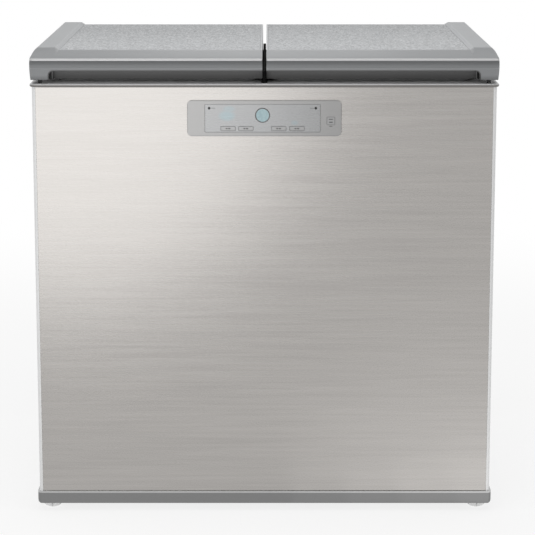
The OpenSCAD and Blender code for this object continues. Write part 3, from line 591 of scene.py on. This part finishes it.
# %% [markdown]
# Foam rises and sets in place and shows its pores where it is cut. The circuit board is
# glass fibre under green lacquer, with straight copper tracks that a brick pattern gives.

# %% Foam and circuit board
foam = Finish("foam", (0.80, 0.66, 0.38), 0.85)
pores = foam.cells(260.0)
foam.set("Base Color", foam.shaded(1.05 - 0.5 * pores + 0.12 * (foam.noise(9.0, 3.0) - 0.5)))
foam.bump(pores, 0.0008)

board = Finish("circuit_board", (0.02, 0.16, 0.06), 0.42, Coat_Weight=0.4, Coat_Roughness=0.15)
tracks = board.node("ShaderNodeTexBrick", out="Fac", Vector=board.point, Scale=160.0,
                    Mortar_Size=0.03)
board.set("Base Color", board.mixed(0.6 * tracks, board.color, (0.10, 0.36, 0.14)))
board.set("Roughness", board.roughness - 0.14 * tracks)
board.bump(tracks, 0.00005)

slot_of = {row["node"]: row["material_slot"] for row in frame["record"]["subparts"]}
missing = sorted(set(slot_of.values()) - set(finishes))
print(len(finishes), "finishes, slots without one:", missing)

# %% [markdown]
# The CAD solids have the right shapes but razor edges, while a real edge is a little
# round and catches the light. Each solid that needs it is copied, its loose triangles are
# welded, flat facets are joined, and a Bevel modifier rounds the sharp edges. The result
# is a plain mesh that stands for the solid and rides on the solid's body.

# %% Weld, round and hand over a copy of a solid
WELD, SLIVER = 0.00001, 0.000001
FLAT_ANGLE, ROUND_FROM, SHARP_FROM = (math.radians(angle) for angle in (0.4, 28.0, 40.0))


def plain_mesh(obj):
    """Applies everything on an object and leaves a plain mesh on it."""
    graph = bpy.context.evaluated_depsgraph_get()
    mesh = bpy.data.meshes.new_from_object(obj.evaluated_get(graph))
    obj.modifiers.clear()
    obj.data = mesh
    mesh.name = obj.name
    return obj


def new_object(name, mesh):
    obj = bpy.data.objects.new(name, mesh)
    bpy.context.scene.collection.objects.link(obj)
    return obj


def smooth(mesh):
    mesh.polygons.foreach_set("use_smooth", [True] * len(mesh.polygons))
    return mesh


def hand_over(obj, slot, body, *nodes):
    """Gives a finished piece its material and its body, and hides the nodes that it stands for."""
    obj.data.materials.clear()
    obj.data.materials.append(finishes[slot].material)
    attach(obj, body)
    if nodes:
        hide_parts(*nodes)
    return obj


def rounded_copy(node, radius):
    """A copy of a node with welded facets and edges rounded by that many millimetres."""
    mesh = frame["nodes"][node].data.copy()
    work = bmesh.new()
    work.from_mesh(mesh)
    bmesh.ops.remove_doubles(work, verts=work.verts, dist=WELD)
    bmesh.ops.dissolve_degenerate(work, dist=SLIVER, edges=work.edges)
    bmesh.ops.dissolve_limit(work, angle_limit=FLAT_ANGLE, verts=work.verts, edges=work.edges)
    work.to_mesh(mesh)
    work.free()
    obj = new_object(node + "_finished", smooth(mesh))
    if radius:
        bevel = obj.modifiers.new("rounded_edges", "BEVEL")
        bevel.width = radius * MM
        bevel.segments = 2
        bevel.limit_method = "ANGLE"
        bevel.angle_limit = ROUND_FROM
        plain_mesh(obj)
    obj.data.set_sharp_from_angle(angle=SHARP_FROM)
    flat = obj.modifiers.new("flat_faces_stay_flat", "WEIGHTED_NORMAL")
    flat.keep_sharp = True
    flat.weight = 100
    plain_mesh(obj)
    return hand_over(obj, slot_of[node], frame["nodes"][node]["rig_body"], node)


print("rounding tools ready")

# %% Every visible solid with an edge that light should find
EDGE_RADIUS = {
    "lid_cover_left": 0.9, "lid_cover_right": 0.9, "deck_left": 0.5, "deck_right": 0.5,
    "grip_left": 0.5, "grip_right": 0.5, "lid_liner_left": 1.0, "lid_liner_right": 1.0,
    "side_panel_left": 0.3, "side_panel_right": 0.3, "top_frame": 0.5, "base_trim": 1.6,
    "base_rails": 0.8, "control_bezel": 0.9, "display_window": 0.25, "round_key": 0.5,
    "key_1": 0.3, "key_2": 0.3, "key_3": 0.3, "key_4": 0.3, "lock_key": 0.3,
    "mullion_cover": 0.8, "lid_bumpers": 0.8, "wall_spacers": 2.0, "cord_gland": 0.5,
    "foot_pad_left": 0.4, "foot_pad_right": 0.4, "foot_brackets": 0.5, "foot_stud_left": 0.5,
    "foot_stud_right": 0.5, "roller_brackets": 0.5, "roller_left": 0.8, "roller_right": 0.8,
    "hinge_brackets": 0.5, "hinge_pins": 0.5, "hinge_springs": 0.0, "back_panel": 0.15,
    "machine_cover": 0.3, "liner_left": 0.6, "liner_right": 0.6, "sensor_covers": 1.0,
    "compressor": 1.0, "compressor_mounts": 0.5, "fan_shroud": 0.6, "fan_motor": 1.0,
    "fan_blades": 0.4, "control_box": 0.8, "refrigerant_pipes": 0.0, "evaporators": 0.0,
    "front_panel": 0.2,
}
for node, radius in EDGE_RADIUS.items():
    rounded_copy(node, radius)
for node, obj in frame["nodes"].items():
    if not obj.hide_render:
        for material_slot in obj.material_slots:
            material_slot.material = finishes[slot_of[node]].material
print(len(EDGE_RADIUS), "rounded pieces")

# %% [markdown]
# Geometry Nodes make what repeats. A piece is then grown from the tree and turned into
# a plain mesh.

# %% A small builder for Geometry Nodes trees
SOCKET_KINDS = {float: "NodeSocketFloat", int: "NodeSocketInt", tuple: "NodeSocketVector",
                bpy.types.Object: "NodeSocketObject", bpy.types.Material: "NodeSocketMaterial"}


class Growth:
    """A Geometry Nodes tree with the sizes of one piece as its named inputs."""

    def __init__(self, name, **inputs):
        self.tree = bpy.data.node_groups.new(name, "GeometryNodeTree")
        self.declare("Geometry", "NodeSocketGeometry")
        self.values = {}
        for label, value in inputs.items():
            kind = next(kind for sort, kind in SOCKET_KINDS.items() if isinstance(value, sort))
            self.values[self.declare(label, kind).identifier] = value
        self.declare("Geometry", "NodeSocketGeometry", "OUTPUT")
        self.given = self.tree.nodes.new("NodeGroupInput").outputs

    def declare(self, label, kind, side="INPUT"):
        return self.tree.interface.new_socket(label, in_out=side, socket_type=kind)

    def add(self, kind, settings=(), out=0, **sockets):
        """Adds a node: settings, then sockets by name or, as i0, i1, by index."""
        node = self.tree.nodes.new(kind)
        for name, value in dict(settings).items():
            setattr(node, name, value)
        for name, value in sockets.items():
            by_index = name[0] == "i" and name[1:].isdigit()
            socket = node.inputs[int(name[1:]) if by_index else name.replace("_", " ")]
            if isinstance(value, bpy.types.NodeSocket):
                self.tree.links.new(value, socket)
            else:
                socket.default_value = value
        return node.outputs[out]

    def math(self, operation, *values):
        numbered = {f"i{index}": value for index, value in enumerate(values)}
        return self.add("ShaderNodeMath", {"operation": operation}, **numbered)

    def grow(self, name, geometry, start=None):
        """Closes the tree, runs it on a start mesh and returns the plain result."""
        real = self.add("GeometryNodeRealizeInstances", Geometry=geometry)
        done = self.add("GeometryNodeSetMaterial", Geometry=real, Material=self.given["Finish"])
        self.tree.links.new(done, self.tree.nodes.new("NodeGroupOutput").inputs[0])
        obj = new_object(name, start or bpy.data.meshes.new(name))
        modifier = obj.modifiers.new("growth", "NODES")
        modifier.node_group = self.tree
        for identifier, value in self.values.items():
            modifier[identifier] = value
        return plain_mesh(obj)


def mesh_of(work, name):
    """Turns a bmesh into a mesh and frees it."""
    mesh = bpy.data.meshes.new(name)
    work.to_mesh(mesh)
    work.free()
    return mesh


print("tree builder ready")

# %% [markdown]
# Screws: a pan head with a cross recess, all alike, each stopped at its own angle. The
# head is modelled once, with a few dozen faces. The tree sets one on every point, turns
# it to the wanted side, and spins it about its own axis by a seeded random angle.

# %% One screw: a turned profile with a cross cut into it
HEAD_STEPS = 20


def turned(profile, name):
    """A closed solid turned about Z from points (radius, height) in millimetres."""
    work = bmesh.new()
    verts = [work.verts.new((radius * MM, 0, height * MM)) for radius, height in profile]
    edges = [work.edges.new(pair) for pair in zip(verts, verts[1:])]
    bmesh.ops.spin(work, geom=verts + edges, axis=(0, 0, 1), cent=(0, 0, 0),
                   steps=HEAD_STEPS, angle=2 * math.pi)
    bmesh.ops.remove_doubles(work, verts=work.verts, dist=WELD)
    bmesh.ops.recalc_face_normals(work, faces=work.faces)
    return smooth(mesh_of(work, name))


def cross_head(radius, height, shank_radius, shank):
    """A pan head on a shank, with a cross cut into the head, in millimetres."""
    head = turned([(0, -shank), (shank_radius, -shank), (shank_radius, 0), (radius, 0),
                   (radius, 0.35 * height), (0.86 * radius, 0.75 * height),
                   (0.5 * radius, height), (0, 1.06 * height)], "head")
    long, narrow, deep = (share * MM for share in (1.1 * radius, 0.24 * radius, 0.9 * height))
    work = bmesh.new()
    for arm in ((long, narrow, deep, 1), (narrow, long, deep, 1)):
        place = Matrix.Translation((0, 0, height * MM)) @ Matrix.Diagonal(arm)
        bmesh.ops.create_cube(work, size=1.0, matrix=place)
    obj = new_object("cross_head", head)
    tool = new_object("cross_cut", mesh_of(work, "cut"))
    boolean = obj.modifiers.new("recess", "BOOLEAN")
    boolean.operation = "DIFFERENCE"
    boolean.solver = "EXACT"
    boolean.use_self = True
    boolean.object = tool
    plain_mesh(obj)
    bpy.data.objects.remove(tool)
    return obj


print("screw head of", HEAD_STEPS, "steps ready")

# %% Screws of the machine room's cover, the hinges and the compressor
RANDOM_FLOAT_OUT = 1
COVER_INSET, COVER_SCREW_Z = 6.0, (70, 160, 250, 330)
HINGE_SCREW_X, HINGE_INSET = (70, 392), 6.0
MOUNT_INSET = 13.0
PLATE, CLEAR = 3.0, 0.1
OUT_OF_BACK, UPRIGHT = (-math.pi / 2, 0.0, 0.0), (0.0, 0.0, 0.0)


def screws(name, places, model, tilt, seed):
    """Screws of one kind at places in millimetres, each stopped at an angle of its own."""
    growth = Growth(name, Model=model, Tilt=tilt, Seed=seed, Finish=finishes["zinc_steel"].material)
    spin = growth.add("FunctionNodeRandomValue", {"data_type": "FLOAT"}, out=RANDOM_FLOAT_OUT,
                      i2=0.0, i3=2 * math.pi, Seed=growth.given["Seed"])
    around = growth.add("ShaderNodeCombineXYZ", Z=spin)
    upright = growth.add("FunctionNodeEulerToRotation", Euler=around)
    leaning = growth.add("FunctionNodeEulerToRotation", Euler=growth.given["Tilt"])
    turn = growth.add("FunctionNodeRotateRotation", {"rotation_space": "LOCAL"},
                      Rotation=leaning, Rotate_By=upright)
    model_in = growth.add("GeometryNodeObjectInfo", out="Geometry", Object=growth.given["Model"])
    placed = growth.add("GeometryNodeInstanceOnPoints", Points=growth.given["Geometry"],
                        Instance=model_in, Rotation=turn)
    points = bpy.data.meshes.new(name)
    points.from_pydata([Vector(place) * MM for place in places], [], [])
    made = growth.grow(name, placed, points)
    bpy.data.objects.remove(model)
    return made


cover_low, cover_high = box_mm("machine_cover")
hinge_low, hinge_high = box_mm("hinge_brackets")
mount_low, mount_high = box_mm("compressor_mounts")
cover_places = [(x, cover_high.y + CLEAR, z)
                for x in (cover_low.x + COVER_INSET, cover_high.x - COVER_INSET)
                for z in COVER_SCREW_Z]
hinge_places = [(side * x, y, hinge_low.z + PLATE) for side in (-1, 1) for x in HINGE_SCREW_X
                for y in (hinge_low.y + HINGE_INSET, hinge_high.y - HINGE_INSET)]
mount_places = [(x, y, mount_high.z + PLATE)
                for x in (mount_low.x + MOUNT_INSET, mount_high.x - MOUNT_INSET)
                for y in (mount_low.y + MOUNT_INSET, mount_high.y - MOUNT_INSET)]
joined = bmesh.new()
for part in (
        screws("cover_screws", cover_places, cross_head(4.0, 2.4, 2.1, 8.5), OUT_OF_BACK, 3),
        screws("hinge_screws", hinge_places, cross_head(4.5, 2.5, 2.4, 10.5), UPRIGHT, 5),
        screws("mount_bolts", mount_places, cross_head(7.0, 4.5, 3.8, 16.0), UPRIGHT, 7)):
    joined.from_mesh(part.data)
    bpy.data.objects.remove(part)
mesh = mesh_of(joined, "screws_finished")
mesh.set_sharp_from_angle(angle=math.radians(35))
hand_over(new_object("screws_finished", mesh), "zinc_steel", "cabinet", "screws")
print(len(cover_places + hinge_places + mount_places), "screws,", len(mesh.polygons), "faces")

# %% [markdown]
# Louvres: the slots of the machine room's cover are pressed outwards into hoods, so that
# water running down the back can't get in. One hood is a low shell with rounded ends and
# an open underside. A Mesh Grid in the tree has a point for every slot.

# %% Hoods over the slots of the machine room's cover
HOOD_WIDTH, HOOD_RISE, HOOD_OUT, HOOD_SHEET = 23.5, 6.0, 3.2, 0.6
HOOD_COLUMNS = 12
HOOD_ARC = [share * math.pi for share in (0.0, 0.25, 0.42, 0.5)]
SLOT_PITCH_X, SLOT_PITCH_Z = 30, 22
SLOT_HALF, COVER_SINK = 3.6, 0.1


def hood_model():
    """A pressed hood, in millimetres: centred on X, from Z 0 up, standing out along +Y."""
    work = bmesh.new()
    rows = []
    for column in range(HOOD_COLUMNS + 1):
        along = -1 + 2 * column / HOOD_COLUMNS
        swell = (1 - along ** 6) ** 0.5
        rise = HOOD_RISE * (0.25 + 0.75 * swell)
        rows.append([work.verts.new((along * HOOD_WIDTH / 2 * MM,
                                     HOOD_OUT * swell * math.cos(angle) * MM,
                                     rise * math.sin(angle) * MM)) for angle in HOOD_ARC])
    for left, right in zip(rows, rows[1:]):
        for k in range(len(HOOD_ARC) - 1):
            work.faces.new((left[k], right[k], right[k + 1], left[k + 1]))
    bmesh.ops.remove_doubles(work, verts=work.verts, dist=WELD)
    bmesh.ops.dissolve_degenerate(work, dist=SLIVER, edges=work.edges)
    bmesh.ops.recalc_face_normals(work, faces=work.faces)
    obj = new_object("hood", mesh_of(work, "hood"))
    wall = obj.modifiers.new("sheet", "SOLIDIFY")
    wall.thickness = HOOD_SHEET * MM
    wall.offset = -1.0
    plain_mesh(obj)
    smooth(obj.data)
    return obj


def hood_field(name, middle_x, middle_z, across, up):
    """A grid of hoods about the middle of a field of slots, in millimetres."""
    model = hood_model()
    place = (middle_x * MM, (cover_high.y - COVER_SINK) * MM, (middle_z + SLOT_HALF) * MM)
    growth = Growth(name, Model=model, Across=across, Up=up, Place=place,
                    Wide=(across - 1) * SLOT_PITCH_X * MM, High=(up - 1) * SLOT_PITCH_Z * MM,
                    Finish=finishes["back_paint"].material)
    given = growth.given
    grid = growth.add("GeometryNodeMeshGrid", Size_X=given["Wide"], Size_Y=given["High"],
                      Vertices_X=given["Across"], Vertices_Y=given["Up"])
    stood = growth.add("GeometryNodeTransform", Geometry=grid, Translation=given["Place"],
                       Rotation=(math.pi / 2, 0.0, 0.0))
    hood = growth.add("GeometryNodeObjectInfo", out="Geometry", Object=given["Model"])
    placed = growth.add("GeometryNodeInstanceOnPoints", Points=stood, Instance=hood)
    made = growth.grow(name, placed)
    bpy.data.objects.remove(model)
    hand_over(made, "back_paint", "cabinet")
    print(across * up, "hoods about x", middle_x)


hood_field("louvre_hoods_left", middle_x=-195, middle_z=178, across=10, up=9)
hood_field("louvre_hoods_right", middle_x=220, middle_z=244, across=7, up=5)

# %% [markdown]
# A lid seals with a hollow rubber gasket. Its section folds at the sides, so it can
# stretch and close. A section that is swept round a path is a job for Curve to Mesh: the
# path is a rounded rectangle and the section a circle that a cosine squeezes into folds.

# %% Bellows gasket round each tub
FOLD, FOLD_WAVES = 0.16, 2
GASKET_WIDTH, GASKET_CORNER, GASKET_PLAY = 12.0, 16.0, 0.3


def bellows(side):
    """The gasket of one lid, which fills the box of its plain solid."""
    name = "gasket_bellows_" + side
    low, high = box_mm("gasket_" + side)
    growth = Growth(name, Long=(high.y - low.y - GASKET_WIDTH) * MM,
                    Wide=(high.x - low.x - GASKET_WIDTH) * MM, Corner=GASKET_CORNER * MM,
                    Section_Width=GASKET_WIDTH * MM,
                    Section_Height=(high.z - low.z - GASKET_PLAY) * MM, Fold=FOLD,
                    Place=tuple((low + high) / 2 * MM), Finish=finishes["gasket_rubber"].material)
    given = growth.given
    path = growth.add("GeometryNodeCurvePrimitiveQuadrilateral", Width=given["Wide"],
                      Height=given["Long"])
    path = growth.add("GeometryNodeFilletCurve", {"mode": "POLY"}, Curve=path, Count=8,
                      Radius=given["Corner"])
    ring = growth.add("GeometryNodeCurvePrimitiveCircle", Resolution=32, Radius=0.5)
    position = growth.add("GeometryNodeInputPosition")
    sideways, upwards = growth.add("ShaderNodeSeparateXYZ", Vector=position).node.outputs[:2]
    wave = growth.math("COSINE", growth.math("MULTIPLY", upwards, FOLD_WAVES * 2 * math.pi))
    squeeze = growth.math("MULTIPLY_ADD", wave, given["Fold"], 1 - FOLD)
    across = growth.math("MULTIPLY", growth.math("MULTIPLY", sideways, squeeze),
                         given["Section_Width"])
    up = growth.math("MULTIPLY", upwards, given["Section_Height"])
    shape = growth.add("ShaderNodeCombineXYZ", X=across, Y=up)
    ring = growth.add("GeometryNodeSetPosition", Geometry=ring, Position=shape)
    swept = growth.add("GeometryNodeCurveToMesh", Curve=path, Profile_Curve=ring)
    placed = growth.add("GeometryNodeTransform", Geometry=swept, Translation=given["Place"])
    made = growth.grow(name, placed)
    smooth(made.data)
    hand_over(made, "gasket_rubber", "lid_" + side, "gasket_" + side)
    print(name, [round(length / MM, 1) for length in made.dimensions])


for side in ("left", "right"):
    bellows(side)

# %% [markdown]
# The studio is a pale floor that runs out of sight and a white world. The camera, metal
# and glass see the floor and the world as white, through Light Path. Diffuse surfaces
# see less, so that shapes keep their shading, and the floor keeps the object's shadow
# near the object, where the camera sees a part of the lit floor through the white.

# %% What the camera, metal and glass see
WHITE = (1.0, 1.0, 1.0, 1.0)


def seen_directly(tree):
    """1 on rays from the camera, and 1 on rays by way of metal or glass."""
    path = tree.nodes.new("ShaderNodeLightPath")
    camera_ray, gloss_ray, glass_ray = (
        Signal(tree, path.outputs[name])
        for name in ("Is Camera Ray", "Is Glossy Ray", "Is Transmission Ray"))
    return camera_ray, (gloss_ray + glass_ray).clamped()


def mix_to_output(tree, amount, first, second, output):
    """Sends a mix of two shader nodes to a new output node."""
    blend = tree.nodes.new("ShaderNodeMixShader")
    plug(tree, blend.inputs[0], amount)
    tree.links.new(first.outputs[0], blend.inputs[1])
    tree.links.new(second.outputs[0], blend.inputs[2])
    tree.links.new(blend.outputs[0], tree.nodes.new(output).inputs[0])


print("light path helpers ready")

# %% Floor
FLOOR_TONE, SHADOW_SHARE = 0.62, 0.22
SHADOW_FADES = (1.2, 3.2)
FLOOR_RADIUS = 30.0

floor_finish = bpy.data.materials.new("studio_floor")
floor_finish.use_nodes = True
tree = floor_finish.node_tree
tree.nodes.clear()
distance = tree.nodes.new("ShaderNodeVectorMath")
distance.operation = "LENGTH"
tree.links.new(tree.nodes.new("ShaderNodeTexCoord").outputs["Object"], distance.inputs[0])
away = Signal(tree, distance.outputs["Value"]).step(*SHADOW_FADES)
by_camera, by_gloss = seen_directly(tree)
tone = FLOOR_TONE + (1.0 - FLOOR_TONE) * by_camera
lit = tree.nodes.new("ShaderNodeCombineColor")
for channel in lit.inputs:
    plug(tree, channel, tone)
matt = tree.nodes.new("ShaderNodeBsdfDiffuse")
tree.links.new(lit.outputs[0], matt.inputs["Color"])
white = tree.nodes.new("ShaderNodeEmission")
mix_to_output(tree, by_gloss + by_camera * (1 - SHADOW_SHARE * (1 - away)), matt, white,
              "ShaderNodeOutputMaterial")

work = bmesh.new()
bmesh.ops.create_circle(work, cap_ends=True, radius=FLOOR_RADIUS, segments=96)
floor_mesh = mesh_of(work, "studio_floor")
floor_mesh.materials.append(floor_finish)
new_object("studio_floor", floor_mesh)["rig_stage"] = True
print("floor tone", FLOOR_TONE)

# %% World
WORLD_FILL = 0.62

world = bpy.data.worlds.new("studio_world")
bpy.context.scene.world = world
world.use_nodes = True
tree = world.node_tree
tree.nodes.clear()
fill, backdrop = (tree.nodes.new("ShaderNodeBackground") for _ in range(2))
for background, strength in ((fill, WORLD_FILL), (backdrop, 1.0)):
    background.inputs["Color"].default_value = WHITE
    background.inputs["Strength"].default_value = strength
by_camera, by_gloss = seen_directly(tree)
mix_to_output(tree, by_camera + by_gloss, fill, backdrop, "ShaderNodeOutputWorld")
print("world fill", WORLD_FILL)

# %% [markdown]
# Softboxes. A round one stands close to the left front, and the brushed sheet mirrors it
# as a broad bright patch at its upper left. The lower right of the sheet mirrors the floor,
# so four cards lie there, one inside the other, and their light adds up in soft steps. One
# more softbox hangs overhead for the decks and one behind, for the views from there.

# %% Softboxes
FLOOR_CARDS = ((0.06, -1.25), (0.17, -1.55), (0.28, -1.9), (0.40, -2.2))
CARDS_RIGHT, CARDS_NEAR, CARDS_HEIGHT, CARD_RADIANCE = 1.4, -0.38, 0.01, 0.11


def softbox(name, place, aim, size, radiance, shape="RECTANGLE"):
    """An area lamp whose face is that bright, in metres, aimed at a point."""
    lamp = bpy.data.lights.new(name, "AREA")
    lamp.shape = shape
    lamp.size, lamp.size_y = size
    area = size[0] * size[1] * (math.pi / 4 if shape == "DISK" else 1.0)
    lamp.energy = radiance * math.pi * area
    obj = bpy.data.objects.new(name, lamp)
    obj.location = place
    obj.rotation_euler = (Vector(aim) - Vector(place)).to_track_quat("-Z", "Y").to_euler()
    obj.visible_camera = False
    bpy.context.scene.collection.objects.link(obj)


softbox("softbox_left", place=(-0.56, -1.856, 0.77), aim=(-0.56, 0.0, 0.77), size=(1.3, 1.3),
        radiance=1.32, shape="DISK")
for number, (left, far) in enumerate(FLOOR_CARDS, 1):
    middle = ((left + CARDS_RIGHT) / 2, (far + CARDS_NEAR) / 2)
    softbox(f"softbox_floor_{number}", place=(*middle, CARDS_HEIGHT), aim=(*middle, 1.0),
            size=(CARDS_RIGHT - left, CARDS_NEAR - far), radiance=CARD_RADIANCE)
softbox("softbox_top", place=(0.0, -0.4, 2.6), aim=(0.0, 0.0, 0.9), size=(1.2, 1.0), radiance=2.2)
softbox("softbox_back", place=(0.0, 3.0, 2.1), aim=(0.0, 0.0, 0.8), size=(0.9, 0.7), radiance=3.0)
print("softboxes placed,", len(FLOOR_CARDS), "of them on the floor")

# %% [markdown]
# Last, the CAD box from the start and the finished box are set side by side, and how much the
# finished one grew is printed.

# %% Compare the sizes and close
sizes = {"cad": [list(corner) for corner in cad_box],
         "visual": [list(corner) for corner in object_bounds()]}
print("grown by, in mm:", [round(1000 * (v - c), 2) for low_high in (0, 1)
                          for v, c in zip(sizes["visual"][low_high], sizes["cad"][low_high])])
